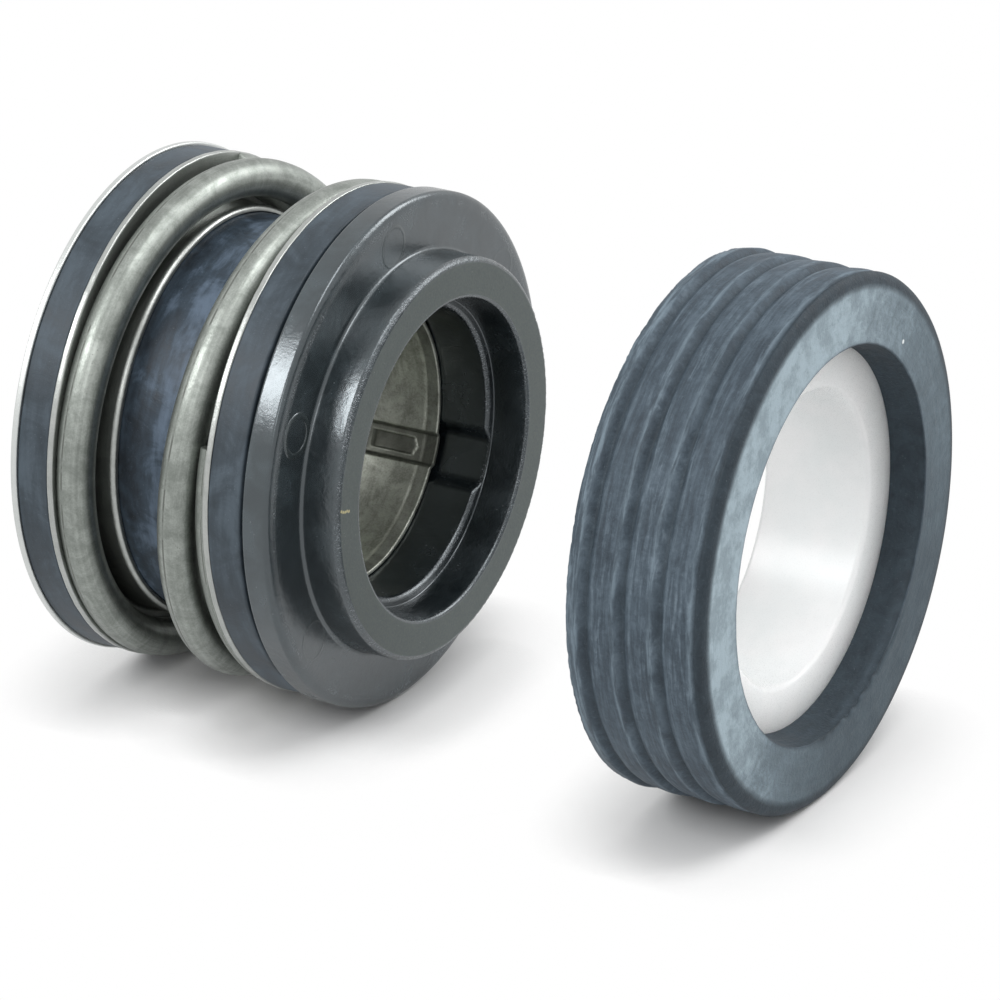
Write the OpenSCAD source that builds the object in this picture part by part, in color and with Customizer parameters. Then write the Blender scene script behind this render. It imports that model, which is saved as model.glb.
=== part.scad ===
// Pump mechanical seal: a spring-loaded rotating head and its stationary seat, shown apart on one axis.
// +X runs along the shaft from the head to the seat and +Z is up.
// The origin is on the shaft axis, halfway along the seat cup.

/* [Shaft and layout] */
// Radius of the shaft that the rubber tail grips
shaft_r = 9.525; // [9.3:0.005:9.7]
// Distance between the face of the primary ring and the face of the ceramic seat
faces_apart = 19.4; // [8:0.1:40]

/* [Seat cup] */
// Radius over the ribs of the rubber cup
cup_r = 18.55; // [17.5:0.05:20]
// Length of the rubber cup along the shaft
cup_len = 10.2; // [9.6:0.1:13]
// Radius of the lip at its mouth
lip_mouth_r = 13.7; // [12.5:0.05:14.4]
// Radius of the lip where it meets the ceramic
lip_root_r = 13.3; // [12:0.05:13.6]
// Depth of the lip, from its face to the ceramic
lip_depth = 2.55; // [1.5:0.05:3.5]
// Radial size of the rounded edge around the lip face
lip_edge_r = 1.2; // [0.4:0.05:1.6]
// Axial size of the rounded edge around the lip face
lip_edge_x = 0.7; // [0.3:0.05:1]
// Number of grooves between the ribs
groove_count = 3; // [1:1:3]
// Distance from one groove to the next
groove_pitch = 2.74; // [2.3:0.01:2.8]
// Distance from the lip face to the middle of the first groove
groove_first = 3.25; // [2.4:0.05:3.4]
// Width of a groove at its mouth
groove_w = 1.7; // [0.8:0.05:2]
// Depth of a groove
groove_depth = 0.42; // [0.15:0.01:0.7]
// Bevel on the cup's inner end
cup_bevel = 0.35; // [0.1:0.05:0.5]

/* [Ceramic seat] */
// Outer radius of the ceramic ring
ceramic_r = 15.2; // [14.6:0.05:16.2]
// Bore radius of the ceramic ring
ceramic_bore_r = 10.2; // [9.9:0.05:12]
// Height of the ceramic face above the rubber
ceramic_proud = 0.4; // [0.1:0.05:1.5]
// Bevel on the edges of the ceramic ring
ceramic_bevel = 0.3; // [0.1:0.05:0.6]

/* [Primary ring] */
// Radius of the flange
flange_r = 18.25; // [17.6:0.05:20]
// Thickness of the flange
flange_t = 2.1; // [1.4:0.05:3]
// Radial size of the flange's rounded front edge
flange_edge_r = 0.95; // [0.3:0.05:1.4]
// Axial size of the flange's rounded front edge
flange_edge_x = 0.45; // [0.2:0.05:0.7]
// Radius of the nose
nose_r = 14.2; // [13:0.05:15]
// Height of the nose above the flange
nose_h = 3; // [2:0.05:4.5]
// Rounding at the front edge of the nose
nose_edge = 0.28; // [0.1:0.01:0.6]
// Fillet between nose and flange
nose_fillet = 0.3; // [0.1:0.05:1]
// Bore radius at the lapped face
face_bore_r = 11.35; // [11.2:0.05:12.2]
// Depth of that bore, from the lapped face down to the ledge
face_bore_depth = 2.6; // [1.5:0.05:3.2]
// Length of the tail that stands in the bellows
ring_tail_len = 3; // [1.5:0.05:4]
// Width of a drive slot
slot_w = 3; // [2:0.05:4]
// Number of drive slots and dimples
slot_count = 2; // [1:1:4]
// Direction of the first drive slot around the shaft, from +Y towards +Z
slot_angle = -24; // [-180:1:180]

/* [Bellows] */
// Radius of the front and rear rubber bands
band_r = 18; // [17.2:0.05:19.5]
// Width of the front band
front_band_w = 2.84; // [2:0.02:4]
// Width of the rear band
rear_band_w = 2.4; // [1.8:0.02:4]
// Bevel on the edges of the bands
band_bevel = 0.34; // [0.05:0.01:0.4]
// Outer radius of the tube
tube_r = 14.2; // [13.9:0.05:14.8]
// Wall of the tube
tube_wall = 1.5; // [1:0.05:1.8]
// Length of the tail that grips the shaft
grip_len = 2.85; // [2:0.05:4]
// Length of the socket that holds the drive sleeve
socket_len = 3.1; // [1.5:0.05:5]

/* [Drive sleeve] */
// Bore radius of the steel sleeve
sleeve_bore_r = 9.75; // [9.6:0.01:10.2]
// Wall of the steel sleeve
sleeve_wall = 0.35; // [0.25:0.01:0.5]
// Distance from the lapped face down to the front edge of the sleeve
sleeve_setback = 6.4; // [6:0.05:7.6]
// Length of a pressed dimple
dimple_len = 5.5; // [3:0.05:7]
// Distance from the sleeve's front edge to a dimple
dimple_setback = 0.5; // [0.3:0.05:2]
// Height of a dimple above the sleeve
dimple_h = 0.45; // [0.2:0.01:0.55]

/* [Steel pressings] */
// Outer radius of the two spring cups
spring_cup_r = 18.05; // [17.2:0.05:19.5]
// Sheet thickness of the spring cups
sheet_t = 0.46; // [0.3:0.01:0.7]
// Length of a spring cup's collar beyond its flange
collar_len = 2.9; // [1:0.05:3.6]
// Outer radius of the rear retainer
retainer_r = 18.2; // [17.2:0.05:19.5]
// Sheet thickness of the rear retainer
retainer_t = 0.48; // [0.3:0.01:0.8]
// Bore radius of the rear retainer
retainer_bore_r = 11.6; // [10.5:0.05:12.4]
// Length of the retainer's collar, let into the rubber
retainer_collar_len = 1.2; // [0.4:0.05:1.6]

/* [Spring] */
// Diameter of the wire
wire_d = 2.7; // [1.8:0.05:2.9]
// Free length of the spring, from cup to cup
spring_len = 12.1; // [10.5:0.05:16]
// Number of turns from tip to tip
spring_turns = 2.74; // [2.6:0.01:3.1]
// Direction of the rear tip around the shaft, from +Y towards +Z
tip_angle = 69; // [-180:1:180]
// Wire left at the ground tips
tip_t = 1.1; // [0.4:0.05:1.2]
// Advance per turn of the closed end coils
closed_pitch = 1.75; // [1.6:0.05:2.7]
// Turns at each end that stay closed
closed_turns = 0.7; // [0.5:0.01:0.8]

/* [Clearances] */
// Between the sleeve and the guide bore of the primary ring
sleeve_clear = 0.15; // [0.05:0.01:0.3]
// Between a dimple and the sides of its slot
dimple_clear = 0.15; // [0.05:0.01:0.4]
// Between the corners of a drive slot and the bore wall in front of it
ledge_clear = 0.15; // [0.05:0.01:0.3]
// Between rubber and the rings that slide or press on it
rubber_clear = 0.05; // [0.02:0.01:0.1]
// Between the spring and the collars inside it
spring_clear = 0.55; // [0.2:0.05:0.8]

/* [Hidden] */
$fn = 96;
// Steps in a rounded edge of a turned outline
edge_steps = 6;
// Sides of the spring's wire and its sections per turn
wire_sides = 14;
wire_sections = 40;
// Overrun of a cutter past the faces that it leaves open
cut_past = 0.5;

// Places along the seat
lip_x = cup_len / 2;
cup_end_x = -cup_len / 2;
ceramic_back_x = lip_x - lip_depth;
ceramic_face_x = cup_end_x - ceramic_proud;

// Places along the head, from the lapped face to the back
face_x = ceramic_face_x - faces_apart;
ledge_x = face_x - face_bore_depth;
flange_x = face_x - nose_h;
flange_back_x = flange_x - flange_t;
ring_end_x = flange_back_x - ring_tail_len;
front_cup_x = flange_back_x - front_band_w;
spring_front_x = front_cup_x - sheet_t;
spring_rear_x = spring_front_x - spring_len;
rear_band_x = spring_rear_x - sheet_t;
retainer_x = rear_band_x - rear_band_w;
back_x = retainer_x - retainer_t;
grip_x = retainer_x + grip_len;
socket_x = grip_x + socket_len;
sleeve_x = face_x - sleeve_setback;

// Radii that follow from the driving sizes
sleeve_r = sleeve_bore_r + sleeve_wall;
guide_r = sleeve_r + sleeve_clear;
dimple_r = sleeve_r + dimple_h;
dimple_w = slot_w - 2 * dimple_clear;
slot_r = dimple_r + dimple_clear;
ledge_r = norm([slot_r, slot_w / 2]) + ledge_clear;
bellows_bore_r = tube_r - tube_wall;
ring_tail_r = bellows_bore_r - rubber_clear;
collar_bore_r = tube_r + rubber_clear;
collar_r = collar_bore_r + sheet_t;
coil_r = collar_r + spring_clear + wire_d / 2;
retainer_collar_r = retainer_bore_r + retainer_t;

// A quarter of an ellipse about [r, x], from one direction to another, as points of a turned outline
function edge(r, x, size_r, size_x, from, to) =
    [for (i = [0:edge_steps]) let (a = from + (to - from) * i / edge_steps) [r + size_r * cos(a), x + size_x * sin(a)]];

// One groove of the cup, from the lip side to the inner side
function groove(x) = [
    [cup_r, x + groove_w / 2],
    [cup_r - groove_depth / 3, x + groove_w / 4],
    [cup_r - groove_depth, x + groove_w / 12],
    [cup_r - groove_depth, x - groove_w / 12],
    [cup_r - groove_depth / 3, x - groove_w / 4],
    [cup_r, x - groove_w / 2]
];

// Turns an outline of [radius, place along the shaft] points about the shaft
module turned(outline) {
    rotate([0, 90, 0]) rotate_extrude() polygon(outline);
}

// Puts its children at each drive slot, with +Y pointing outwards
module at_slots() {
    for (i = [0:slot_count - 1]) rotate([slot_angle + i * 360 / slot_count, 0, 0]) children();
}

// A block that starts on the shaft axis and reaches out to radius r
module key(x_from, x_to, r, w) {
    translate([x_from, 0, -w / 2]) cube([x_to - x_from, r, w]);
}

module seat_cup() {
    color("slategray") turned(concat(
        edge(cup_r - lip_edge_r, lip_x - lip_edge_x, lip_edge_r, lip_edge_x, 90, 0),
        [for (i = [0:groove_count - 1], p = groove(lip_x - groove_first - i * groove_pitch)) p],
        [[cup_r, cup_end_x + cup_bevel], [cup_r - cup_bevel, cup_end_x]],
        [[ceramic_r, cup_end_x], [ceramic_r, ceramic_back_x], [lip_root_r, ceramic_back_x], [lip_mouth_r, lip_x]]
    ));
}

module ceramic_seat() {
    color("white") turned([
        [ceramic_bore_r, ceramic_face_x + ceramic_bevel],
        [ceramic_bore_r + ceramic_bevel, ceramic_face_x],
        [ceramic_r - ceramic_bevel, ceramic_face_x],
        [ceramic_r, ceramic_face_x + ceramic_bevel],
        [ceramic_r, ceramic_back_x],
        [ceramic_bore_r + ceramic_bevel, ceramic_back_x],
        [ceramic_bore_r, ceramic_back_x - ceramic_bevel]
    ]);
}

module primary_ring() {
    color("dimgray") difference() {
        turned(concat(
            [[face_bore_r, face_x]],
            edge(nose_r - nose_edge, face_x - nose_edge, nose_edge, nose_edge, 90, 0),
            edge(nose_r + nose_fillet, flange_x + nose_fillet, nose_fillet, nose_fillet, 180, 270),
            edge(flange_r - flange_edge_r, flange_x - flange_edge_x, flange_edge_r, flange_edge_x, 90, 0),
            [[flange_r, flange_back_x], [ring_tail_r, flange_back_x], [ring_tail_r, ring_end_x]],
            [[guide_r, ring_end_x], [guide_r, ledge_x], [ledge_r, ledge_x]]
        ));
        at_slots() key(ring_end_x - cut_past, ledge_x + cut_past, slot_r, slot_w);
    }
}

// A spring cup whose flange lies against the spring at x, with its collar inside the spring; way is 1 or -1
module spring_cup(x, way) {
    color("silver") turned([
        [collar_bore_r, x - way * sheet_t],
        [spring_cup_r, x - way * sheet_t],
        [spring_cup_r, x],
        [collar_r, x],
        [collar_r, x + way * collar_len],
        [collar_bore_r, x + way * collar_len]
    ]);
}

module front_spring_cup() {
    spring_cup(spring_front_x, -1);
}

module rear_spring_cup() {
    spring_cup(spring_rear_x, 1);
}

// Place of the wire's middle along the shaft after t turns: closed coils at both ends, one open turn between
wire_rise = spring_len + wire_d - 2 * tip_t - closed_pitch * spring_turns;
function smooth(u) = let (v = max(0, min(1, u))) v * v * (3 - 2 * v);
function wire_x(t) = spring_rear_x + tip_t - wire_d / 2 + closed_pitch * t
    + wire_rise * smooth((t - closed_turns) / (spring_turns - 2 * closed_turns));

// One point of the wire's skin, ground flat where the wire reaches past the spring's two end planes
function wire_point(t, side) = let (
        x = wire_x(t) + wire_d / 2 * cos(360 * side / wire_sides),
        r = coil_r + wire_d / 2 * sin(360 * side / wire_sides)
    ) [max(spring_rear_x, min(spring_front_x, x)), r * cos(tip_angle - 360 * t), r * sin(tip_angle - 360 * t)];

module spring() {
    last = ceil(spring_turns * wire_sections);
    points = [for (i = [0:last], s = [0:wire_sides - 1]) wire_point(spring_turns * i / last, s)];
    skin = [
        for (i = [0:last - 1], s = [0:wire_sides - 1]) let (n = (s + 1) % wire_sides)
            [i * wire_sides + s, i * wire_sides + n, (i + 1) * wire_sides + n, (i + 1) * wire_sides + s]
    ];
    rear_tip = [for (s = [wire_sides - 1:-1:0]) s];
    front_tip = [for (s = [0:wire_sides - 1]) last * wire_sides + s];
    color("darkgray") polyhedron(points, concat([rear_tip], skin, [front_tip]));
}

module bellows() {
    color("darkslategray") turned([
        [bellows_bore_r, flange_back_x],
        [band_r - band_bevel, flange_back_x],
        [band_r, flange_back_x - band_bevel],
        [band_r, front_cup_x],
        [tube_r, front_cup_x],
        [tube_r, rear_band_x],
        [band_r, rear_band_x],
        [band_r, retainer_x],
        [retainer_collar_r, retainer_x],
        [retainer_collar_r, retainer_x + retainer_collar_len],
        [retainer_bore_r, retainer_x + retainer_collar_len],
        [retainer_bore_r, retainer_x],
        [shaft_r, retainer_x],
        [shaft_r, grip_x],
        [sleeve_r, grip_x],
        [sleeve_r, socket_x],
        [bellows_bore_r, socket_x]
    ]);
}

module drive_sleeve() {
    dimple_from = sleeve_x - dimple_setback - dimple_len;
    dimple_to = sleeve_x - dimple_setback;
    color("gray") difference() {
        union() {
            turned([[sleeve_bore_r, grip_x], [sleeve_r, grip_x], [sleeve_r, sleeve_x], [sleeve_bore_r, sleeve_x]]);
            at_slots() translate([0, sleeve_bore_r, 0])
                key(dimple_from, dimple_to, dimple_r - sleeve_bore_r, dimple_w);
        }
        at_slots() key(dimple_from + sleeve_wall, dimple_to - sleeve_wall, dimple_r - sleeve_wall,
                       dimple_w - 2 * sleeve_wall);
        turned([[0, grip_x - cut_past], [sleeve_bore_r, grip_x - cut_past],
                [sleeve_bore_r, sleeve_x + cut_past], [0, sleeve_x + cut_past]]);
    }
}

module rear_retainer() {
    color("lightgray") turned([
        [retainer_bore_r, back_x],
        [retainer_r, back_x],
        [retainer_r, retainer_x],
        [retainer_collar_r, retainer_x],
        [retainer_collar_r, retainer_x + retainer_collar_len],
        [retainer_bore_r, retainer_x + retainer_collar_len]
    ]);
}

seat_cup();
ceramic_seat();
primary_ring();
front_spring_cup();
spring();
rear_spring_cup();
bellows();
drive_sleeve();
rear_retainer();
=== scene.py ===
import math

import bpy
import numpy as np
from mathutils import Matrix, Vector


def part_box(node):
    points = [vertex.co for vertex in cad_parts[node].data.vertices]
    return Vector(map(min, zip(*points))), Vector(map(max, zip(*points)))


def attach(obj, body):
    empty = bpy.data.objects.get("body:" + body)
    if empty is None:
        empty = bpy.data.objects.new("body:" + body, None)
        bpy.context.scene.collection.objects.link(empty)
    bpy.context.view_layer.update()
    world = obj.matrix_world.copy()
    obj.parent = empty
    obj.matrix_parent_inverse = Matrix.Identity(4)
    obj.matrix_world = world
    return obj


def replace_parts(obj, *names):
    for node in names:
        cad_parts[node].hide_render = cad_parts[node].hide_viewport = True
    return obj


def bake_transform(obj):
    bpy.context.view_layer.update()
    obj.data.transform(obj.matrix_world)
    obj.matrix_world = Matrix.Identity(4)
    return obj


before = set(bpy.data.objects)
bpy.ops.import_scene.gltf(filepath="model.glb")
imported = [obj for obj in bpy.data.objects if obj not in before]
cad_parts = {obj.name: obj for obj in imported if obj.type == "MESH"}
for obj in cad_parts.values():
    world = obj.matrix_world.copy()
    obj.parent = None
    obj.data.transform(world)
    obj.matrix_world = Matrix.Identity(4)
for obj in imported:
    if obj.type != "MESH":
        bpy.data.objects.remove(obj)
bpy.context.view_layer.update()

# Lengths below are in millimetres, in the row frame: +X along the shaft from head to seat, +Z up.
# A direction round the shaft is an angle from +Y towards +Z.
MM = 0.001
rng = np.random.default_rng(11)


def span(node):
    """Lowest x, highest x and outer radius of a CAD node, in millimetres."""
    low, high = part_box(node)
    return low.x / MM, high.x / MM, high.z / MM


# Places and radii taken from the CAD nodes
cup_end_x, lip_x, cup_r = span("seat_cup")
ceramic_face_x, ceramic_back_x, ceramic_r = span("ceramic_seat")
ring_end_x, face_x, flange_r = span("primary_ring")
front_collar_x, front_cup_x, cup_rim_r = span("front_spring_cup")
rear_band_x, rear_collar_x, _ = span("rear_spring_cup")
spring_rear_x, spring_front_x, _ = span("spring")
retainer_x, flange_back_x, band_r = span("bellows")
grip_x, sleeve_x, _ = span("drive_sleeve")
back_x, retainer_collar_x, retainer_r = span("rear_retainer")

# Sizes of the CAD model that its boxes don't tell
lip_mouth_r, lip_root_r = 13.7, 13.3
lip_edge_r, lip_edge_x = 1.2, 0.7
groove_places = [lip_x - 3.25 - 2.74 * i for i in range(3)]
ceramic_bore_r = 10.2
flange_x = flange_back_x + 2.1
flange_edge_r, flange_edge_x = 0.95, 0.45
nose_r, face_bore_r, ledge_r, ledge_x = 14.2, 11.35, 10.955, face_x - 2.6
guide_r, slot_w = 10.25, 3.0
slot_angles = (-24.0, 156.0)
tube_r, bellows_bore_r, ring_tail_r = 14.2, 12.7, 12.65
collar_bore_r, collar_r = 14.25, 14.71
shaft_r, sleeve_bore_r, sleeve_r = 9.525, 9.75, 10.1
socket_x = grip_x + 3.1
dimple_from, dimple_w = sleeve_x - 6.0, 2.7
retainer_bore_r, retainer_collar_r = 11.6, 12.08
wire_d, coil_r, spring_turns = 2.7, 16.61, 2.74
tip_angle, tip_t, closed_pitch, closed_turns = 69.0, 1.1, 1.75, 0.7

# Marks that only the scene has: ejector pins on the flange, a tear and a nick at the lip's mouth
pin_circle_r, pin_r, first_pin_angle = 15.75, 1.4, 35.8
torn_angle, nick_angle = 292.0, 266.0


# Mesh helpers

def smooth(u):
    u = np.clip(u, 0, 1)
    return u * u * (3 - 2 * u)


def bell(u, middle, width):
    """1 at the middle, falling to about a third at the width on either side."""
    return np.exp(-((u - middle) / width) ** 2)


def arc_from(phi, direction, radius):
    """Distance round the shaft, at a radius, from a direction in degrees."""
    return np.abs((np.degrees(phi) - direction + 180) % 360 - 180) * math.pi / 180 * radius


def rounded_edge(out_r, front_x, drop, back):
    """The quarter ellipse from a flat front to the outside, as (radius, x) points."""
    return [(out_r - drop + drop * math.sin(t), front_x - back + back * math.cos(t))
            for t in np.linspace(0, math.pi / 2, 9)]


def ripple(phi, low, high, size):
    """A seeded closed wave round the shaft, with low to high waves per turn and about the given height."""
    total = np.zeros_like(phi)
    for k in range(low, high + 1):
        total += rng.normal() * np.cos(k * phi + rng.uniform(0, 2 * math.pi))
    return size * total / math.sqrt((high - low + 1) / 2)


def patches(phi, x, waves, size):
    """Seeded low waves over a turned surface, longer round the shaft than along it."""
    total = np.zeros_like(x)
    for _ in range(waves):
        total += np.cos(rng.integers(3, 45) * phi + rng.uniform(-5, 5) * x + rng.uniform(0, 2 * math.pi))
    return size * total / math.sqrt(waves / 2)


def outline(corners, pitch=0.6, steps=6):
    """A closed line of (radius, x) points through corners (radius, x, rounding), at most pitch apart."""
    line = []
    count = len(corners)
    for i in range(count):
        c = np.array(corners[i][:2], float)
        rounding = corners[i][2] if len(corners[i]) > 2 else 0
        if rounding == 0:
            line.append(c)
            continue
        u = np.array(corners[i - 1][:2], float) - c
        v = np.array(corners[(i + 1) % count][:2], float) - c
        room = min(np.linalg.norm(u), np.linalg.norm(v)) * 0.48
        u, v = u / np.linalg.norm(u), v / np.linalg.norm(v)
        half = math.acos(np.clip(u @ v, -1, 1)) / 2
        reach = min(rounding / math.tan(half), room)
        radius = reach * math.tan(half)
        centre = c + (u + v) / np.linalg.norm(u + v) * radius / math.sin(half)
        a, b = c + u * reach - centre, c + v * reach - centre
        turn = math.atan2(a[0] * b[1] - a[1] * b[0], a @ b)
        for k in range(steps + 1):
            t = turn * k / steps
            across = a[0] * math.cos(t) - a[1] * math.sin(t)
            along = a[0] * math.sin(t) + a[1] * math.cos(t)
            line.append(centre + np.array([across, along]))
    fine = []
    for i, p in enumerate(line):
        q = line[(i + 1) % len(line)]
        length = np.linalg.norm(q - p)
        stops = [0.0]
        if length > 0.2:
            stops.append(0.05 / length)
            inner = max(1, math.ceil((length - 0.1) / pitch))
            stops += [(0.05 + (length - 0.1) * k / inner) / length for k in range(1, inner)]
            stops.append(1 - 0.05 / length)
        fine += [p + (q - p) * s for s in stops]
    return np.array(fine)


def angles(step, dense=()):
    """A full turn's angles in radians, step degrees apart and finer in stretches (centre, half, step)."""
    marks = list(np.arange(0, 360, step))
    for centre, half, fine in dense:
        marks = [m for m in marks if abs((m - centre + 180) % 360 - 180) > half + fine]
        marks += list((centre + np.arange(-half, half + fine / 2, fine)) % 360)
    return np.radians(np.array(sorted(marks)))


def make(name, points, faces, slot, attributes):
    """A smooth mesh object from points in millimetres; attributes are point values for its material."""
    mesh = bpy.data.meshes.new(name)
    mesh.from_pydata((points * MM).tolist(), [], faces)
    for key, value in attributes.items():
        kind, field = ("FLOAT_VECTOR", "vector") if value.ndim == 2 else ("FLOAT", "value")
        mesh.attributes.new(key, kind, "POINT").data.foreach_set(field, value.astype(np.float32).ravel())
    mesh.polygons.foreach_set("use_smooth", np.ones(len(mesh.polygons), bool))
    mesh.update()
    piece = bpy.data.objects.new(name, mesh)
    bpy.context.scene.collection.objects.link(piece)
    piece.data.materials.append(MATERIALS[slot])
    return piece


def grid_faces(rows, columns, first=0, flip=False):
    """Quads of a grid of rows by columns that closes on itself both ways."""
    i, j = np.meshgrid(np.arange(rows), np.arange(columns), indexing="ij")
    a, b = first + i * columns + j, first + i * columns + (j + 1) % columns
    c, d = first + (i + 1) % rows * columns + (j + 1) % columns, first + (i + 1) % rows * columns + j
    quad = np.stack([a, d, c, b] if flip else [a, b, c, d], -1)
    return quad.reshape(-1, 4).tolist()


def lathe(name, line, phis, slot, shape=None, zone=None, **more):
    """Turns a closed outline about the shaft.

    shape moves the points; zone and more give the material a value at each point.
    """
    r = np.repeat(line[None, :, 0], len(phis), 0)
    x = np.repeat(line[None, :, 1], len(phis), 0)
    phi = np.repeat(phis[:, None], len(line), 1)
    marks = {"zone": zone or (lambda r, x, phi: 0 * r), **more}
    marks = {key: rule(r, x, phi).ravel() for key, rule in marks.items()}
    if shape:
        r, x, phi = shape(r, x, phi)
    points = np.stack([x, r * np.cos(phi), r * np.sin(phi)], -1).reshape(-1, 3)
    turn = np.stack([np.cos(phi), np.sin(phi), x + r], -1).reshape(-1, 3)
    nxt = np.roll(line, -1, 0)
    area = (line[:, 0] * nxt[:, 1] - nxt[:, 0] * line[:, 1]).sum()
    faces = grid_faces(len(phis), len(line), flip=area < 0)
    return make(name, points, faces, slot, {"spot": points, "turn": turn, **marks})


# Material helpers

def linear(code):
    """A colour written as sRGB hex, as Blender's linear values."""
    parts = [int(code[i:i + 2], 16) / 255 for i in (0, 2, 4)]
    return tuple(c / 12.92 if c <= 0.04045 else ((c + 0.055) / 1.055) ** 2.4 for c in parts) + (1.0,)


class Net:
    """A material's node tree, with short calls for the nodes used here."""

    def __init__(self, name):
        self.material = bpy.data.materials.new(name)
        self.material.use_nodes = True
        self.tree = self.material.node_tree
        self.shader = self.tree.nodes["Principled BSDF"]

    def node(self, kind, values=(), **settings):
        n = self.tree.nodes.new(kind)
        for key, value in settings.items():
            setattr(n, key, value)
        for key, value in dict(values).items():
            self.put(n.inputs[key], value)
        return n

    def put(self, socket, value):
        if isinstance(value, bpy.types.NodeSocket):
            self.tree.links.new(value, socket)
        else:
            socket.default_value = value

    def set(self, **values):
        for key, value in values.items():
            self.put(self.shader.inputs[key.replace("_", " ")], value)

    def spot(self, name, scale=(1, 1, 1)):
        n = self.node("ShaderNodeAttribute", attribute_name=name)
        scaled = self.node("ShaderNodeVectorMath", {0: n.outputs["Vector"], 1: scale}, operation="MULTIPLY")
        return scaled.outputs[0]

    def value(self, name):
        return self.node("ShaderNodeAttribute", attribute_name=name).outputs["Fac"]

    def noise(self, where, scale=1.0, detail=4.0, rough=0.55, distortion=0.0):
        values = {"Vector": where, "Scale": scale, "Detail": detail, "Roughness": rough,
                  "Distortion": distortion}
        return self.node("ShaderNodeTexNoise", values).outputs["Fac"]

    def cells(self, where, scale=1.0):
        return self.node("ShaderNodeTexVoronoi", {"Vector": where, "Scale": scale}).outputs["Distance"]

    def radius(self):
        """Distance from the shaft axis, in millimetres."""
        length = self.node("ShaderNodeVectorMath", {0: self.spot("spot", (0, 1, 1))}, operation="LENGTH")
        return length.outputs["Value"]

    def near(self, where, place, reach):
        """1 close to a place, falling to 0 at the given reach."""
        n = self.node("ShaderNodeVectorMath", {0: where, 1: place}, operation="DISTANCE")
        return self.fit(n.outputs["Value"], reach * 0.5, reach, 1, 0)

    def add(self, *terms):
        """Sum of (value, share) pairs."""
        total = None
        for value, share in terms:
            part = self.maths("MULTIPLY", value, share)
            total = part if total is None else self.maths("ADD", total, part)
        return total

    def fit(self, fac, low, high, out_low=0.0, out_high=1.0):
        return self.node("ShaderNodeMapRange", {0: fac, 1: low, 2: high, 3: out_low, 4: out_high},
                         interpolation_type="SMOOTHSTEP").outputs[0]

    def maths(self, kind, a, b):
        return self.node("ShaderNodeMath", {0: a, 1: b}, operation=kind).outputs[0]

    def ramp(self, fac, stops):
        n = self.node("ShaderNodeValToRGB", {"Fac": fac})
        for i, (place, code) in enumerate(stops):
            e = n.color_ramp.elements[i] if i < 2 else n.color_ramp.elements.new(place)
            e.position, e.color = place, linear(code)
        return n.outputs["Color"]

    def mix(self, fac, a, b):
        n = self.node("ShaderNodeMix", data_type="RGBA")
        for socket, value in ((0, fac), (6, a), (7, b)):
            self.put(n.inputs[socket], linear(value) if isinstance(value, str) else value)
        return n.outputs[2]

    def bump(self, height, distance, under=None):
        n = self.node("ShaderNodeBump", {"Height": height, "Strength": 1.0, "Distance": distance * MM})
        if under is not None:
            self.put(n.inputs["Normal"], under)
        return n.outputs["Normal"]


def rubber_seat():
    m = Net("rubber_seat")
    spot, zone = m.spot("spot"), m.value("zone")
    streaks = m.noise(m.spot("turn", (5, 5, 2.8)), 1.0, 4, 0.66, 0.4)
    tracts = m.noise(m.spot("turn", (2.6, 2.6, 0.45)), 1.0, 2, 0.6)
    blotch = m.noise(spot, 0.8, 4, 0.7, 0.8)
    mottle = m.noise(spot, 2.0, 3, 0.7, 0.6)
    clouds = m.noise(spot, 0.2, 4, 0.62, 0.6)
    grain = m.noise(spot, 6.0, 3, 0.68)
    bloom = m.add((streaks, 0.42), (blotch, 0.2), (mottle, 0.13), (clouds, 0.25))
    outside = m.ramp(m.fit(bloom, 0.36, 0.64), [(0.0, "323c45"), (1.0, "596671"), (0.5, "45515b")])
    dust = m.fit(m.add((streaks, 0.7), (mottle, 0.3)), 0.5, 0.68)
    chalk = m.maths("MULTIPLY", dust, m.fit(tracts, 0.44, 0.62))
    outside = m.mix(m.maths("MULTIPLY", chalk, 0.28), outside, "8a99a4")
    # pale lines along the rib crests and the cup's ends: partly chalky bloom, partly painted highlight where
    # the crests catch light
    crest = m.maths("MULTIPLY", m.value("ridge"), m.fit(streaks, 0.4, 0.62, 0.1, 0.6))
    outside = m.mix(crest, outside, "80909b")
    # the lip's face is painted lighter on the side towards -Y and towards the top and darker at the bottom,
    # as painted light and shade, over the bloom's own patchy tone
    turn = m.node("ShaderNodeSeparateXYZ", {0: m.spot("turn")}).outputs
    side, lit_top = m.fit(turn["X"], 1.0, -1.0), m.fit(turn["Y"], -1.0, 1.0)
    shaded_foot = m.fit(turn["Y"], -1.0, -0.2, -0.24, 0.0)
    pale = m.add((side, 0.58), (lit_top, 0.3), (shaded_foot, 1.0), (clouds, 0.35), (blotch, 0.3), (mottle, 0.15))
    face = m.ramp(m.fit(pale, 0.36, 1.06), [(0.0, "455159"), (1.0, "a2b3bc"), (0.5, "6c7b84")])
    stains = m.fit(m.add((m.noise(spot, 0.55, 4, 0.6), 0.75), (mottle, 0.25)), 0.6, 0.4, 0.0, 0.4)
    face = m.mix(stains, face, "55626a")
    colour = m.mix(zone, outside, face)
    # darker where the seat's dark value is set: its own worn, ragged and torn places, and painted shade in
    # the grooves and on the lip's inner wall
    colour = m.mix(m.value("dark"), colour, m.ramp(blotch, [(0.3, "242d34"), (0.7, "364149")]))
    colour = m.mix(m.fit(grain, 0.6, 0.78, 0, 0.15), colour, "a3b0b9")
    colour = m.mix(m.fit(grain, 0.4, 0.26, 0, 0.2), colour, "262e34")
    # a speck of dust on the lip's face
    speck = (lip_x, 9.78, 11.25)
    colour = m.mix(m.near(spot, speck, 0.2), colour, "e8ecee")
    m.set(Base_Color=colour, Roughness=m.fit(bloom, 0.3, 0.7, 0.5, 0.7), Specular_IOR_Level=0.25)
    m.set(Normal=m.bump(grain, 0.03, m.bump(mottle, 0.06, m.bump(streaks, 0.06))))
    return m.material


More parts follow.
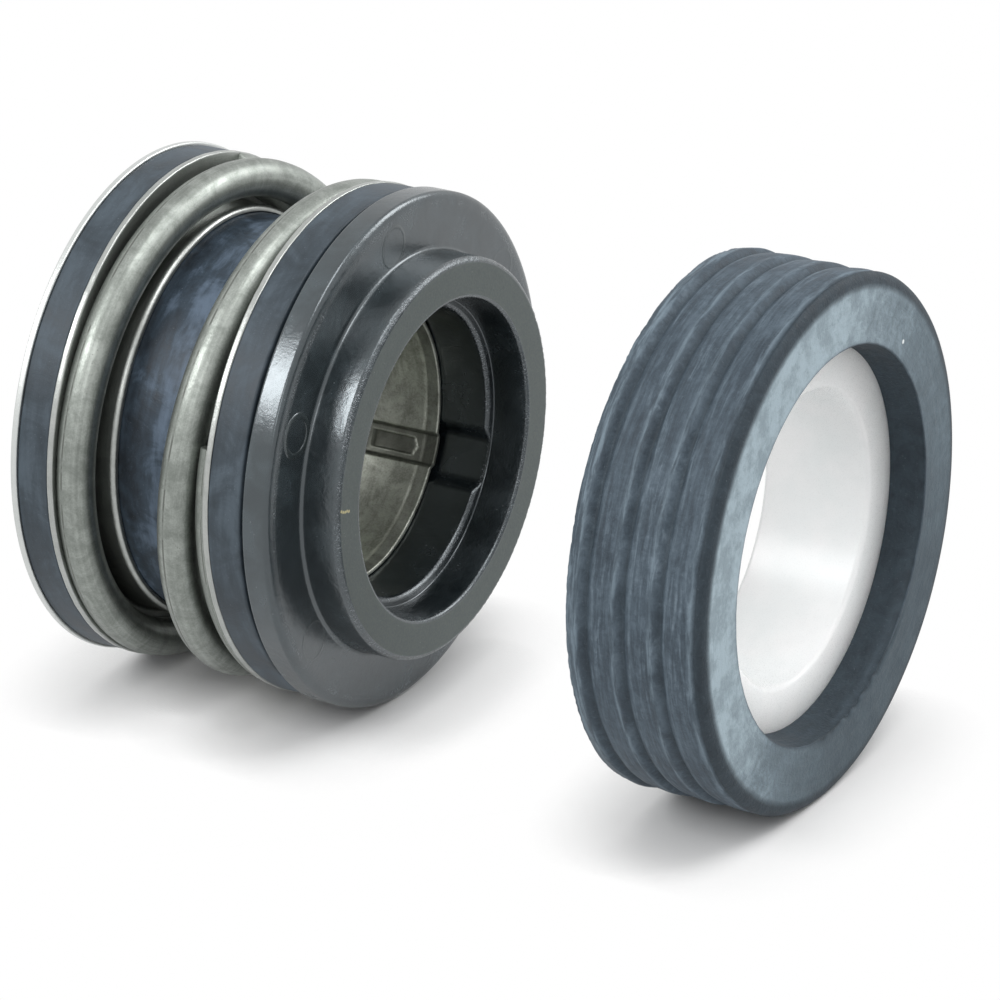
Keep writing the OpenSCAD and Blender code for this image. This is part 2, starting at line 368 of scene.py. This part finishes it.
def rubber_bellows():
    m = Net("rubber_bellows")
    spot = m.spot("spot")
    streaks = m.noise(m.spot("turn", (4, 4, 1.2)), 1.0, 4, 0.6)
    clouds = m.noise(spot, 0.3, 4, 0.62, 0.7)
    grain = m.noise(spot, 8.0, 2, 0.65)
    mix = m.add((streaks, 0.4), (clouds, 0.6))
    # the tube is darker close to the rear cup's collar and paler further forward: painted shade where the
    # tube meets the collar, over its own mottled tone
    x = m.node("ShaderNodeSeparateXYZ", {0: spot}).outputs["X"]
    front = m.fit(x, rear_collar_x + 0.3, rear_collar_x + 4.5, -0.05, 0.13)
    tone_and_shade = m.fit(m.maths("ADD", mix, front), 0.34, 0.72)
    tube = m.ramp(tone_and_shade, [(0.0, "151d25"), (1.0, "5a697a"), (0.5, "303d49")])
    band = m.ramp(m.fit(mix, 0.34, 0.66), [(0.0, "2b343b"), (1.0, "49545d"), (0.5, "38424a")])
    colour = m.mix(m.value("zone"), tube, band)
    colour = m.mix(m.fit(grain, 0.64, 0.8, 0, 0.3), colour, "8a949d")
    m.set(Base_Color=colour, Roughness=m.fit(mix, 0.3, 0.7, 0.42, 0.6), Specular_IOR_Level=0.35)
    m.set(Normal=m.bump(grain, 0.012, m.bump(clouds, 0.06)))
    return m.material


def ceramic():
    m = Net("ceramic")
    spot = m.spot("spot")
    clouds = m.noise(spot, 0.25, 2, 0.5)
    lapping = m.noise(spot, 14.0, 1, 0.6)
    m.set(Base_Color=m.ramp(m.fit(clouds, 0.3, 0.7), [(0.0, "eef2f2"), (1.0, "f6f8f8")]),
          Roughness=m.fit(lapping, 0.3, 0.7, 0.25, 0.4), Specular_IOR_Level=0.5,
          Subsurface_Weight=1.0, Subsurface_Radius=(1, 1, 1), Subsurface_Scale=0.008)
    m.set(Normal=m.bump(lapping, 0.004))
    return m.material


def face_ring():
    m = Net("face_ring")
    spot = m.spot("spot")
    clouds = m.noise(spot, 0.35, 4, 0.65, 0.4)
    grain = m.noise(spot, 7.0, 2, 0.65)
    chips = m.noise(spot, 9.0, 3, 0.75)
    pits = m.cells(spot, 2.6)
    moulded = m.ramp(m.fit(clouds, 0.3, 0.7), [(0.0, "171e21"), (1.0, "2b3438"), (0.5, "1f272a")])
    # painted shade: the ring is darker inside the bore, below a radius of about 11.6 mm
    moulded = m.mix(m.fit(m.radius(), 11.6, 11.1, 0, 0.7), moulded, "06090c")
    lapped = m.ramp(m.fit(grain, 0.3, 0.7), [(0.0, "2d3432"), (1.0, "3c433c")])
    colour = m.mix(m.value("zone"), moulded, lapped)
    stretch = m.fit(m.noise(spot, 0.45, 3, 0.6), 0.4, 0.62, 0.2, 1.0)
    # pale chips along the worn rims: wear, and on the bore's and the ledge's rims painted highlight as well
    worn = m.maths("MULTIPLY", m.maths("MULTIPLY", m.value("edge"), stretch), m.fit(chips, 0.52, 0.68))
    colour = m.mix(worn, colour, "b4b8be")
    specks = m.maths("MULTIPLY", m.fit(pits, 0.03, 0.1, 1, 0), m.fit(clouds, 0.52, 0.62))
    colour = m.mix(m.maths("MULTIPLY", specks, 0.6), colour, "b8bcbf")
    # a fibre of lint on the lapped face
    for y, z in ((-13.72, 1.33), (-13.5, 1.2), (-13.26, 1.12), (-13.02, 1.1), (-12.78, 1.0)):
        colour = m.mix(m.near(spot, (face_x, y, z), 0.14), colour, "b3a878")
    gloss = m.add((m.fit(clouds, 0.3, 0.7, 0.2, 0.28), 1.0), (worn, 0.3))
    m.set(Base_Color=colour, Roughness=m.maths("MAXIMUM", gloss, m.maths("MULTIPLY", m.value("zone"), 0.6)),
          Specular_IOR_Level=1.0, Specular_Tint=linear("e8f1f6"), IOR=1.58)
    broken = m.maths("MULTIPLY", chips, m.value("edge"))
    m.set(Normal=m.bump(broken, 0.03, m.bump(grain, 0.008, m.bump(clouds, 0.05))))
    return m.material


def steel(name, dark, mid, light, rough, along, blotch, metal, stain, seam=None):
    """A worn steel. Its zone darkens it where it is above 0 and brightens it where it is below: painted shade
    on the spring cups' collars and in the sleeve's channels, painted highlight on the cups' and the
    retainer's rims.
    """
    m = Net(name)
    spot, zone = m.spot("spot"), m.value("zone")
    drawn = m.noise(m.spot("turn", along), 1.0, 4, 0.65)
    clouds = m.noise(spot, blotch, 4, 0.65, 0.6)
    grain = m.noise(spot, 7.0, 2, 0.7)
    pits = m.cells(spot, 2.4)
    mix = m.add((drawn, 0.3), (clouds, 0.5), (grain, 0.2))
    colour = m.ramp(m.fit(mix, 0.34, 0.66), [(0.0, dark), (1.0, light), (0.5, mid)])
    pitted = m.maths("MULTIPLY", m.fit(pits, 0.05, 0.16, 1, 0), m.fit(clouds, 0.5, 0.62, 0, stain))
    colour = m.mix(pitted, colour, "4c4e49")
    # painted shade where the zone is above 0, painted highlight where it is below
    colour = m.mix(m.fit(zone, 0, 1), colour, "34352f")
    colour = m.mix(m.fit(zone, 0, -1), colour, "e3e6e5")
    if seam:
        # the fine line along the outside of the wire
        line = m.near(m.spot("turn", (1, 1, 0)), seam, 0.17)
        colour = m.mix(m.maths("MULTIPLY", line, m.fit(clouds, 0.38, 0.56, 0.05, 0.7)), colour, "4b4d48")
    roughness = m.fit(mix, 0.3, 0.7, rough + 0.1 * stain, rough - 0.1 * stain)
    m.set(Base_Color=colour, Metallic=metal, Roughness=roughness)
    m.set(Normal=m.bump(grain, 0.014, m.bump(drawn, 0.006)))
    return m.material


MATERIALS = {
    "rubber_seat": rubber_seat(),
    "rubber_bellows": rubber_bellows(),
    "ceramic": ceramic(),
    "face_ring": face_ring(),
    "pressed_steel": steel("pressed_steel", "9a9e9b", "a6a9a6", "b1b4b1", rough=0.34, along=(3, 3, 9),
                           blotch=0.5, metal=0.95, stain=0.12),
    "spring_steel": steel("spring_steel", "7a7f7a", "8e938e", "a1a6a1", rough=0.42, along=(2.4, 2.4, 0.25),
                          blotch=0.7, metal=0.95, stain=0.45, seam=(-0.495, 2.144, 0)),
    "sleeve_steel": steel("sleeve_steel", "777971", "9a9d94", "b6b9b0", rough=0.42, along=(2, 2, 1),
                          blotch=0.55, metal=0.9, stain=0.45),
}


# Stationary seat

def rib_radius(x):
    """The ribbed outside of the cup: a rib rises slowly to a crest close to the next groove."""
    stops = [cup_end_x] + sorted(groove_places) + [lip_x - lip_edge_x]
    low = max(v for v in stops if v <= x + 1e-6)
    high = min([v for v in stops if v > x + 1e-6] + [stops[-1] + 0.1])
    crest = high - 0.65
    drop = 0.16 * (1 - smooth((x - low) / max(0.1, crest - low)))
    fall = 0.12 if high < stops[-1] else 0.06
    drop += fall * smooth((x - crest) / 0.65)
    notch = sum(bell(x, g, 0.26) for g in groove_places)
    return cup_r - 0.03 - drop - 0.24 * notch


def make_seat_cup():
    places = np.arange(lip_x - lip_edge_x, cup_end_x + 0.35, -0.125)
    ribs = [(rib_radius(x), x) for x in places]
    edge = rounded_edge(cup_r, lip_x, lip_edge_r, lip_edge_x)[:-1]
    front = outline([(lip_mouth_r, lip_x, 0.12), (cup_r - lip_edge_r, lip_x), (cup_r, lip_x - lip_edge_x),
                     (cup_r, cup_end_x), (ceramic_r, cup_end_x), (ceramic_r, ceramic_back_x),
                     (lip_root_r, ceramic_back_x, 0.05)], 0.18)
    # the straight outside is taken out again and the rounded edge and ribs go in its place
    keep = [p for p in front if p[0] <= cup_r - lip_edge_r + 1e-6 and p[1] > cup_end_x + 1e-6]
    start = max(range(len(keep)), key=lambda i: (keep[i][1] > lip_x - 1e-6) * keep[i][0])
    keep = keep[start + 1:] + keep[:start]
    heel = [(cup_r - 0.16, cup_end_x + 0.1)]
    wall = cup_r - 0.35 - ceramic_r
    inner = [(ceramic_r + wall * t, cup_end_x) for t in (1.0, 0.985, 0.8, 0.5, 0.25, 0.02, 0.0)]
    line = np.array(edge + ribs + heel + inner + [tuple(p) for p in keep])
    phis = angles(0.75)
    wave, fray, lip = ripple(phis, 2, 7, 0.02), ripple(phis, 18, 140, 0.04), ripple(phis, 14, 100, 0.045)
    lip = lip * (0.1 + 0.5 * bell(np.degrees(phis), 285, 22))
    fray = fray * (0.6 + 0.4 * np.sin(5 * phis + 1) * np.sin(11 * phis))

    def torn(phi):
        """The stretch of the lip's mouth, low on the right, where the rubber is torn."""
        return np.exp(-((np.degrees(phi) - torn_angle) / 26) ** 4)

    def crack(r, x, phi):
        """The thin tear that wanders along the mouth there."""
        sway = 0.25 * np.cos(np.radians(2.2 * (np.degrees(phi) - 275)))
        path = lip_mouth_r + 0.28 + 3.5 * lip[:, None] - sway
        return bell(r, path, 0.13) * (x > lip_x - 0.1) * torn(phi)

    def shape(r, x, phi):
        outside = r > cup_r - 1
        tail = smooth((cup_end_x + 0.9 - x) / 0.9) * outside
        mouth = bell(r, lip_mouth_r, 0.25) * smooth((x - lip_x + 0.4) / 0.4)
        behind_edge = smooth((lip_x - lip_edge_x + 0.1 - x) / 0.5)
        uneven = np.minimum(0.03, patches(phi, x, 40, 0.011)) * outside * behind_edge
        frayed = np.abs(fray)[:, None] * tail
        r = r + np.minimum(wave, 0.02)[:, None] * outside - frayed + lip[:, None] * mouth + uneven
        x = x + frayed * 0.5 * (x < cup_end_x + 0.5) - 0.16 * crack(r, x, phi)
        return r, x, phi

    def zone(r, x, phi):
        smear = 0.35 * bell(x, lip_x - 0.5, 0.2) * (r < lip_mouth_r) * torn(phi)
        return np.clip(smooth((x - lip_x + 0.12) / 0.1) * smooth((r - lip_mouth_r) / 0.2) + smear, 0, 1)

    def ridge(r, x, phi):
        # the pale crest lines: partly bloom, partly painted highlight on the rib crests and the cup's ends
        crests = sum(0.9 * bell(x, g - 0.66, 0.15) + 0.3 * bell(x, g + 0.55, 0.14) for g in groove_places)
        ends = smooth((cup_end_x + 1.0 - x) / 0.6) + 0.8 * bell(x, lip_x - 0.98, 0.2)
        return np.clip(crests + ends * 0.9, 0, 1) * (r > cup_r - 1)

    def dark(r, x, phi):
        # Darker rubber: the worn rounding of the lip, the ragged mouth, the tear and the nick are marks of
        # its own; the darkening in the grooves and on the lip's inner wall is painted shade.
        near_front = smooth((x - lip_x + lip_edge_x + 0.2) / 0.3)
        rounding = near_front * smooth((r - cup_r + lip_edge_r + 0.1) / 0.55)
        groove = sum(0.75 * bell(x, g + 0.04, 0.2) for g in groove_places) * (r > cup_r - 1)
        lip_wall = (r < lip_mouth_r + 0.02) & (x > ceramic_back_x - 0.1) & (x < lip_x - 0.05)
        smear = bell(x, lip_x - 0.5, 0.2) * torn(phi)
        ragged = 0.3 * bell(r, lip_mouth_r + 0.03, 0.1) * (x > lip_x - 0.2) + 0.9 * crack(r, x, phi)
        at_mouth = smooth((lip_mouth_r + 0.9 - r) / 0.8) * (x > lip_x - 0.6) * (r < lip_mouth_r + 1.3)
        nick = bell(np.degrees(phi), nick_angle, 6) * at_mouth
        shade = 0.95 * rounding + groove + lip_wall * (0.95 - 0.3 * smear) + ragged + 0.6 * nick
        return np.clip(shade, 0, 1)

    piece = lathe("seat_cup_rubber", line, phis, "rubber_seat", shape, zone, ridge=ridge, dark=dark)
    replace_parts(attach(piece, "seat"), "seat_cup")


def make_ceramic():
    line = outline([(ceramic_bore_r, ceramic_face_x, 0.3), (ceramic_r, ceramic_face_x, 0.3),
                    (ceramic_r, ceramic_back_x, 0.1), (ceramic_bore_r, ceramic_back_x, 0.3)], 0.5)
    piece = lathe("ceramic_ring", line, angles(1.0), "ceramic")
    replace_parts(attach(piece, "seat"), "ceramic_seat")


# Rotating head

def make_primary_ring():
    reach = slot_w / 2 + 0.95
    half = math.degrees(reach / guide_r) + 0.9
    phis = angles(0.75, [(a, half, half / 32) for a in slot_angles])
    nose = [(face_bore_r, face_x, 0.22), (nose_r, face_x, 0.4), (nose_r, flange_x, 0.3)]
    edge = rounded_edge(flange_r, flange_x, flange_edge_r, flange_edge_x)
    tail = [(flange_r, flange_back_x, 0.18), (ring_tail_r, flange_back_x), (ring_tail_r, ring_end_x, 0.2)]
    bore = [(guide_r, ring_end_x, 0.1), (guide_r, ledge_x, 0.33), (ledge_r, ledge_x, 0.1)]
    line = outline(nose + edge + tail + bore, 0.35)
    chips = ripple(phis, 30, 200, 0.016)
    swell = ripple(phis, 2, 6, 0.012)

    def near(r, x, at_r, at_x, size):
        return np.exp(-((r - at_r) ** 2 + (x - at_x) ** 2) / size ** 2)

    def edge_wear_and_glint(r, x, phi):
        # pale chipped wear along the rims; on the bore's and the ledge's rims it is also painted highlight
        rim = 0.4 * bell(r, flange_r - 0.75, 0.2) * (x > flange_back_x + 0.9)
        face_rim = near(r, x, nose_r - 0.1, face_x - 0.1, 0.22)
        bore_rim = 0.6 * near(r, x, face_bore_r + 0.03, face_x - 0.08, 0.17)
        ledge_rim = 0.7 * near(r, x, guide_r + 0.09, ledge_x - 0.09, 0.2)
        return np.clip(rim + face_rim + bore_rim + ledge_rim, 0, 1)

    def shape(r, x, phi):
        r, x, phi = r.copy(), x.copy(), phi.copy()
        worn = edge_wear_and_glint(r, x, phi)
        r += np.minimum(swell, 0)[:, None] * (r > flange_r - 0.2)
        r -= np.abs(chips)[:, None] * worn * (r > nose_r - 1)
        x -= np.abs(chips)[:, None] * worn
        # the drive slots: round-sided troughs through the guide bore, nearly as deep as the ledge
        inner = (r < ledge_r - 0.01) & (x < ledge_x + 0.02)
        for a in slot_angles:
            trough = 0.97 * smooth((reach - arc_from(phi, a, guide_r)) / 1.3) * inner
            r = r + trough * (ledge_r - np.minimum(r, ledge_r))
        return r, x, phi

    def zone(r, x, phi):
        between_rims = smooth((r - face_bore_r - 0.15) / 0.1) * smooth((nose_r - 0.3 - r) / 0.1)
        return (x > face_x - 0.02) * between_rims

    piece = lathe("primary_ring_moulding", line, phis, "face_ring", shape, zone, edge=edge_wear_and_glint)
    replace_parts(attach(piece, "face"), "primary_ring")


def make_ejector_marks():
    """The round marks that ejector pins leave on the flange, a thin raised ring each."""
    heights = (0.03, 0.035, 0.1, 0.03, 0.03, 0.04)
    widths = (0.16, 0.16, 0.26, 0.16, 0.16, 0.2)
    t, s = np.meshgrid(np.radians(np.arange(0, 360, 7.5)), np.radians(np.arange(0, 360, 30)), indexing="ij")
    rings, faces = [], []
    for k, (height, width) in enumerate(zip(heights, widths)):
        middle = np.radians(first_pin_angle + 60 * k)
        reach = pin_r + width * np.cos(s)
        u, v = pin_circle_r + reach * np.cos(t), reach * np.sin(t)
        x = flange_x - 0.02 + height * np.sin(s)
        y, z = u * math.cos(middle) - v * math.sin(middle), u * math.sin(middle) + v * math.cos(middle)
        faces += grid_faces(t.shape[0], t.shape[1], first=k * t.size)
        rings.append(np.stack([x, y, z], -1).reshape(-1, 3))
    points = np.concatenate(rings)
    turn = np.stack([points[:, 1] / 16, points[:, 2] / 16, points[:, 0]], -1)
    # each mark takes a fifth of the lapped face's paler colour and roughness: partly its own finish, partly
    # painted highlight where the raised ring catches light
    values = {"zone": np.full(len(points), 0.2), "edge": np.zeros(len(points))}
    marks = make("ejector_marks", points, faces, "face_ring", {"spot": points, "turn": turn, **values})
    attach(marks, "face")


def make_spring_cup(name, node, body, rim_x, spring_x, collar_end_x):
    """A pressed ring: a flat flange from rim_x to spring_x, and a collar to collar_end_x in the spring."""
    way = 1 if collar_end_x > spring_x else -1
    roll = ((0.0, 0.4), (0.04, 0.22), (0.11, 0.09), (0.2, 0.02), (0.26, 0.0))
    rolled = [(collar_r - drop, collar_end_x - way * back) for drop, back in roll]
    line = outline([(collar_bore_r, rim_x, 0.5), (cup_rim_r, rim_x, 0.1), (cup_rim_r, spring_x, 0.12),
                    (collar_r, spring_x, 0.25)] + rolled + [(collar_bore_r, collar_end_x, 0.06)], 0.6, 5)
    phis = angles(1.0)
    burr = ripple(phis, 3, 60, 0.012)

    def shape(r, x, phi):
        return r - np.abs(burr)[:, None] * (r > cup_rim_r - 0.3), x, phi

    def zone(r, x, phi):
        # the collar's outside, inside the spring, is painted darker as shade, and the rim's edge lighter as
        # painted highlight
        return 0.35 * (np.abs(r - collar_r) < 0.02) - 0.1 * (r > cup_rim_r - 0.15)

    piece = lathe(name, line, phis, "pressed_steel", shape, zone)
    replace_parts(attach(piece, body), node)


def make_spring():
    sides, sections = 28, 660
    t = np.linspace(0, spring_turns, sections)
    rise = spring_front_x - spring_rear_x + wire_d - 2 * tip_t - closed_pitch * spring_turns
    middle = spring_rear_x + tip_t - wire_d / 2 + closed_pitch * t
    middle = middle + rise * smooth((t - closed_turns) / (spring_turns - 2 * closed_turns))
    # both tips are cut square, with a small rounding
    size = np.ones(sections)
    for i, share in ((0, 0.9), (1, 0.97), (2, 0.995)):
        size[i] = size[-1 - i] = share
    t[1:3], t[-3:-1] = (0.0004, 0.0012), (spring_turns - 0.0012, spring_turns - 0.0004)
    middle[1:3], middle[-3:-1] = middle[0], middle[-1]
    s = np.arange(sides) * 2 * math.pi / sides
    x = np.clip(middle[:, None] + size[:, None] * wire_d / 2 * np.cos(s), spring_rear_x, spring_front_x)
    r = coil_r + size[:, None] * wire_d / 2 * np.sin(s)
    turn = np.radians(tip_angle) - 2 * math.pi * t[:, None]
    points = np.stack([x, r * np.cos(turn), r * np.sin(turn)], -1).reshape(-1, 3)
    last = (sections - 1) * sides
    faces = grid_faces(sections, sides)[:last]
    faces.append(list(range(sides))[::-1])
    faces.append(list(range(last, last + sides)))
    # lines drawn along the wire: the pattern runs round the section quickly and along the wire slowly
    around = [np.cos(s) * 2.2 + 0 * turn, np.sin(s) * 2.2 + 0 * turn]
    drawn = np.stack(around + [t[:, None] * 6 + 0 * s], -1).reshape(-1, 3)
    piece = make("coil_spring", points, faces, "spring_steel",
                 {"spot": points, "turn": drawn, "zone": np.zeros(len(points))})
    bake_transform(piece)
    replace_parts(piece, "spring")


def make_bellows():
    # the front band stands off the ring's flange by a narrow groove
    front_band = [(bellows_bore_r, flange_back_x), (band_r - 0.6, flange_back_x),
                  (band_r - 0.55, flange_back_x - 0.26, 0.05), (band_r, flange_back_x - 0.34, 0.2),
                  (band_r, front_cup_x, 0.1), (tube_r, front_cup_x)]
    rear_band = [(tube_r, rear_band_x), (band_r, rear_band_x, 0.1), (band_r, retainer_x, 0.1)]
    collar_slot = [(retainer_collar_r, retainer_x), (retainer_collar_r, retainer_collar_x),
                   (retainer_bore_r, retainer_collar_x), (retainer_bore_r, retainer_x, 0.1)]
    bore = [(shaft_r, retainer_x, 0.4), (shaft_r, grip_x), (sleeve_r, grip_x), (sleeve_r, socket_x, 0.2),
            (bellows_bore_r, socket_x, 0.4)]
    line = outline(front_band + rear_band + collar_slot + bore, 0.5)
    phis = angles(0.9)
    wave = ripple(phis, 2, 9, 0.02)

    def shape(r, x, phi):
        return r + np.minimum(wave, 0.01)[:, None] * (r > band_r - 0.4), x, phi

    def zone(r, x, phi):
        return smooth((r - tube_r - 0.5) / 0.5)

    piece = lathe("bellows_rubber", line, phis, "rubber_bellows", shape, zone)
    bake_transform(piece)
    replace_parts(piece, "bellows")


def make_drive_sleeve():
    half = math.degrees(dimple_w / 2 / sleeve_r)
    phis = angles(1.0, [(a, half + 2, 0.35) for a in slot_angles])
    line = outline([(sleeve_bore_r, grip_x, 0.08), (sleeve_r, grip_x, 0.08), (sleeve_r, sleeve_x, 0.12),
                    (sleeve_bore_r, sleeve_x, 0.12)], 0.14, 4)

    def channel(x, phi, a):
        """Depth of a drive channel, from 0 to 1, and of the pocket pressed into its floor."""
        off = arc_from(phi, a, sleeve_r)
        floor = smooth(np.minimum(dimple_w / 2 - off, x - dimple_from) / 0.4)
        sides, back = dimple_w / 2 - 0.55 - off, x - dimple_from - 0.7
        point = sleeve_x - 1.7 - x + 0.5 * (dimple_w / 2 - 0.62) - off * 0.5
        pocket = smooth(np.minimum(sides, np.minimum(back, point)) / 0.3)
        return floor, pocket

    def shape(r, x, phi):
        # the front edge is turned out a little, behind a low ridge
        r = r + 0.1 * smooth((x - sleeve_x + 0.75) / 0.75) - 0.05 * bell(x, sleeve_x - 0.85, 0.16)
        for a in slot_angles:
            floor, pocket = channel(x, phi, a)
            r = r + 0.36 * floor + 0.11 * pocket - 0.07 * bell(pocket, 0.5, 0.35) * floor
        return r, x, phi

    def zone(r, x, phi):
        # the channels' floors are painted darker, as shade in the recess, except along the pocket's rim; the
        # pocket is a little darker still
        total = 0 * r
        for a in slot_angles:
            floor, pocket = channel(x, phi, a)
            rim = bell(pocket, 0.5, 0.3)
            total = total + 0.62 * floor * (1 - rim) + 0.1 * pocket
        return np.clip(total, 0, 1)

    piece = lathe("sleeve", line, phis, "sleeve_steel", shape, zone)
    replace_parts(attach(piece, "rotor"), "drive_sleeve")


def make_rear_retainer():
    plate = [(retainer_bore_r, back_x, 0.3), (retainer_r, back_x, 0.12), (retainer_r, retainer_x, 0.12)]
    collar = [(retainer_collar_r, retainer_x, 0.1), (retainer_collar_r, retainer_collar_x, 0.08),
              (retainer_bore_r, retainer_collar_x, 0.08)]
    line = outline(plate + collar, 0.6, 5)

    def zone(r, x, phi):
        # the rim is painted much lighter: a painted highlight
        return -0.55 * (r > retainer_r - 0.2)

    piece = lathe("retainer_ring", line, angles(1.0), "pressed_steel", None, zone)
    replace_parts(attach(piece, "rotor"), "rear_retainer")


make_seat_cup()
make_ceramic()
make_primary_ring()
make_ejector_marks()
make_spring_cup("front_cup_pressing", "front_spring_cup", "face", front_cup_x, spring_front_x, front_collar_x)
make_spring_cup("rear_cup_pressing", "rear_spring_cup", "rotor", rear_band_x, spring_rear_x, rear_collar_x)
make_spring()
make_bellows()
make_drive_sleeve()
make_rear_retainer()


# Stage, light and camera

def seen_share(tree):
    """1 for rays that show the background itself: camera, mirror and see-through rays."""
    path = tree.nodes.new("ShaderNodeLightPath")
    last = path.outputs["Is Camera Ray"]
    for name in ("Is Glossy Ray", "Is Transmission Ray"):
        n = tree.nodes.new("ShaderNodeMath")
        n.operation = "MAXIMUM"
        tree.links.new(last, n.inputs[0])
        tree.links.new(path.outputs[name], n.inputs[1])
        last = n.outputs[0]
    return last


def make_world(daylight):
    world = bpy.data.worlds.new("studio")
    bpy.context.scene.world = world
    world.use_nodes = True
    tree = world.node_tree
    fill = tree.nodes["Background"]
    fill.inputs["Color"].default_value = (1, 1, 1, 1)
    fill.inputs["Strength"].default_value = daylight
    white = tree.nodes.new("ShaderNodeBackground")
    white.inputs["Color"].default_value = (1, 1, 1, 1)
    white.inputs["Strength"].default_value = 1.0
    mix = tree.nodes.new("ShaderNodeMixShader")
    tree.links.new(seen_share(tree), mix.inputs[0])
    tree.links.new(fill.outputs[0], mix.inputs[1])
    tree.links.new(white.outputs[0], mix.inputs[2])
    tree.links.new(mix.outputs[0], tree.nodes["World Output"].inputs["Surface"])


def make_floor():
    """Plain paper: seen as white away from the object, and with the object's shadow close by."""
    size, z = 6.0, -cup_r * MM
    corners = [(-size, -size, z), (size, -size, z), (size, size, z), (-size, size, z)]
    mesh = bpy.data.meshes.new("floor")
    mesh.from_pydata(corners, [], [(0, 1, 2, 3)])
    floor = bpy.data.objects.new("floor", mesh)
    bpy.context.scene.collection.objects.link(floor)
    m = Net("paper")
    m.set(Base_Color=(0.76, 0.76, 0.76, 1), Roughness=0.9, Specular_IOR_Level=0.0)
    open_sky = m.node("ShaderNodeAmbientOcclusion", {"Distance": 0.0075}, samples=2).outputs["AO"]
    share = m.maths("MULTIPLY", seen_share(m.tree), m.fit(open_sky, 0.45, 0.9))
    glow = m.node("ShaderNodeEmission", {"Strength": 1.0})
    both = m.node("ShaderNodeMixShader", {0: share, 1: m.shader.outputs[0], 2: glow.outputs[0]})
    m.put(m.tree.nodes["Material Output"].inputs["Surface"], both.outputs[0])
    mesh.materials.append(m.material)


def way_to(azimuth, elevation):
    """The direction from the object to a lamp or camera at an azimuth and elevation in degrees."""
    a, e = math.radians(azimuth), math.radians(elevation)
    return Vector((math.sin(a) * math.cos(e), -math.cos(a) * math.cos(e), math.sin(e)))


def make_lamp(name, azimuth, elevation, distance, width, height, watts):
    """A soft box that looks at the middle of the object."""
    target = Vector((-0.022, 0, 0))
    way = way_to(azimuth, elevation)
    data = bpy.data.lights.new(name, "AREA")
    data.shape, data.size, data.size_y, data.energy = "RECTANGLE", width, height, watts
    lamp = bpy.data.objects.new(name, data)
    lamp.location = target + way * distance
    lamp.rotation_euler = way.to_track_quat("Z", "Y").to_euler()
    bpy.context.scene.collection.objects.link(lamp)


def make_camera():
    """The photograph's camera, fitted to the circles of the seal."""
    azimuth, elevation, roll = 30.348, 23.575, math.radians(0.424)
    eye = Vector((169.957, -325.514, 162.482)) * MM
    focal_share = 5.990  # focal length over the width of the picture
    right = Vector((math.cos(math.radians(azimuth)), math.sin(math.radians(azimuth)), 0))
    ahead = -way_to(azimuth, elevation)
    down = ahead.cross(right)
    across = right * math.cos(roll) + down * math.sin(roll)
    up = right * math.sin(roll) - down * math.cos(roll)
    data = bpy.data.cameras.new("camera")
    data.sensor_width, data.lens = 36.0, 36.0 * focal_share
    data.clip_start, data.clip_end = 0.01, 50
    camera = bpy.data.objects.new("camera", data)
    axes = Matrix((across, up, -ahead)).transposed()
    camera.matrix_world = Matrix.Translation(eye) @ axes.to_4x4()
    bpy.context.scene.collection.objects.link(camera)
    bpy.context.scene.camera = camera


make_world(0.5)
make_floor()
make_lamp("key", azimuth=-37, elevation=38, distance=0.9, width=0.26, height=0.38, watts=3.4)
make_lamp("front", azimuth=18, elevation=32, distance=1.0, width=0.3, height=0.3, watts=1.0)
make_lamp("top", azimuth=90, elevation=70, distance=0.9, width=0.4, height=0.4, watts=2.6)
make_lamp("back", azimuth=146, elevation=30, distance=0.9, width=0.4, height=0.4, watts=3.0)
make_camera()
bpy.context.scene.view_settings.view_transform = "Standard"
